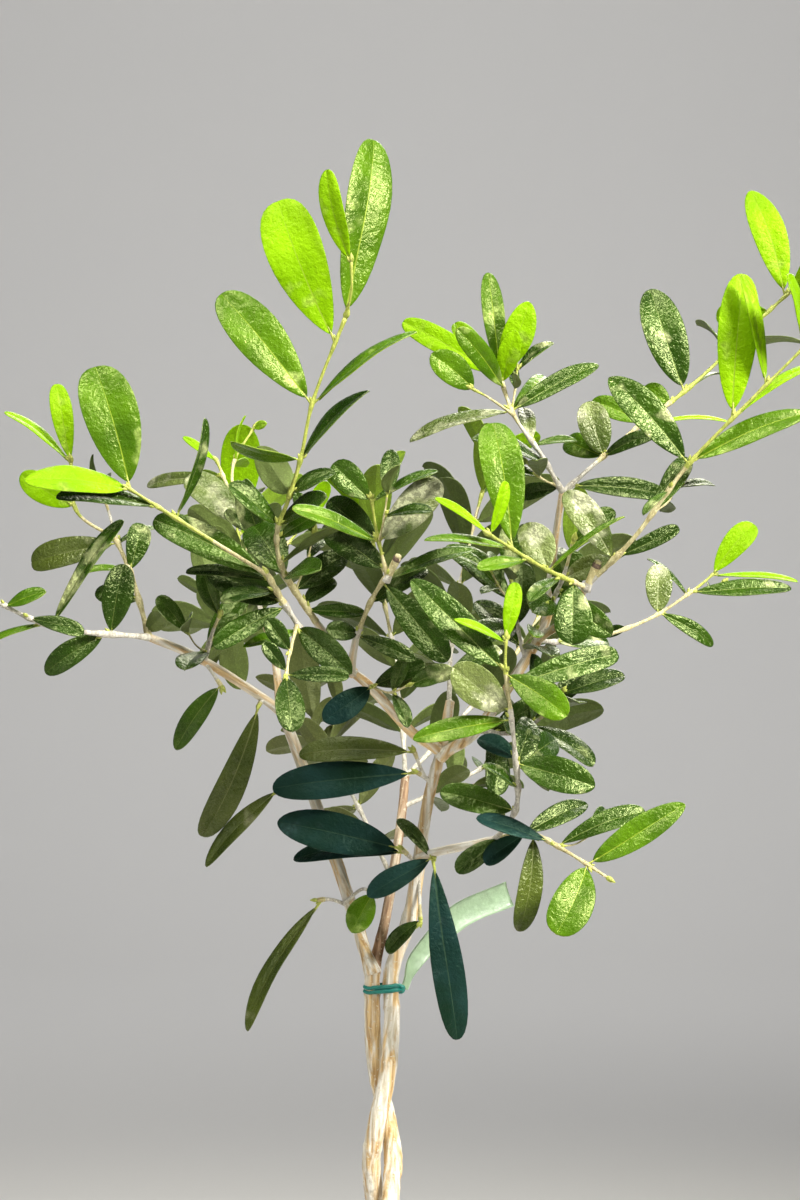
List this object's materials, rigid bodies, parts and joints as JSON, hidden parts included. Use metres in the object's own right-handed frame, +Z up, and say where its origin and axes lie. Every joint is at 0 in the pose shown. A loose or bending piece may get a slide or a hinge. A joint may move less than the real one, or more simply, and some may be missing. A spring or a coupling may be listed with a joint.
{
  "type": "potted olive tree",
  "caption": "Young olive standard in a plain clay pot: twined stems bound by a tie, spreading boughs and an open crown of narrow leaves.",
  "frame": {"origin": "centre of the pot's flat underside, on the ground", "axes": "+Z up along the trunk, -Y towards the front of the crown, +X to the right as seen from the front"},
  "size_m": [0.3308, 0.2193, 0.6056],
  "materials": {
    "clay": "matte, unglazed",
    "compost": "matte, crumbly",
    "tie": "satin",
    "bark": "matte",
    "foliage": "leathery, softly glossy",
    "young_foliage": "soft, satin"
  },
  "bodies": {
    "root": {"pot": "clay", "soil": "compost", "tie": "tie", "trunk_left": "bark", "trunk_right": "bark", "bough_left": "bark", "bough_back": "bark", "bough_centre": "bark", "bough_right": "bark", "bough_right_low": "bark", "bough_left_arm": "bark", "bough_left_back": "bark", "bough_centre_front": "bark", "bough_centre_grey": "bark", "bough_centre_upright": "bark", "bough_right_front": "bark", "bough_right_top": "bark", "foliage_north": "young_foliage", "foliage_left_high": "young_foliage", "foliage_left_front": "foliage", "foliage_left_upright": "young_foliage", "foliage_left_arm": "foliage", "foliage_centre": "foliage", "foliage_centre_low": "foliage", "foliage_left_mid": "foliage", "foliage_left_hanging": "foliage", "foliage_left_lower": "foliage", "foliage_stem_left": "foliage", "foliage_stem_upper": "foliage", "foliage_stem_front": "foliage", "foliage_stem_low": "foliage", "foliage_right_low": "foliage", "foliage_right_riser": "foliage", "foliage_right_front": "young_foliage", "foliage_right_inner": "foliage", "foliage_right_top": "young_foliage", "foliage_right_long": "young_foliage", "foliage_right_centre": "foliage", "foliage_right_heart": "foliage", "foliage_right_under": "foliage", "foliage_right_far": "young_foliage", "foliage_back_centre": "foliage", "foliage_back_right": "foliage", "foliage_back_low": "foliage", "foliage_back_left": "young_foliage", "foliage_back_left_out": "foliage", "foliage_back_high": "foliage", "foliage_back_side": "foliage"}
  },
  "joints": []
}
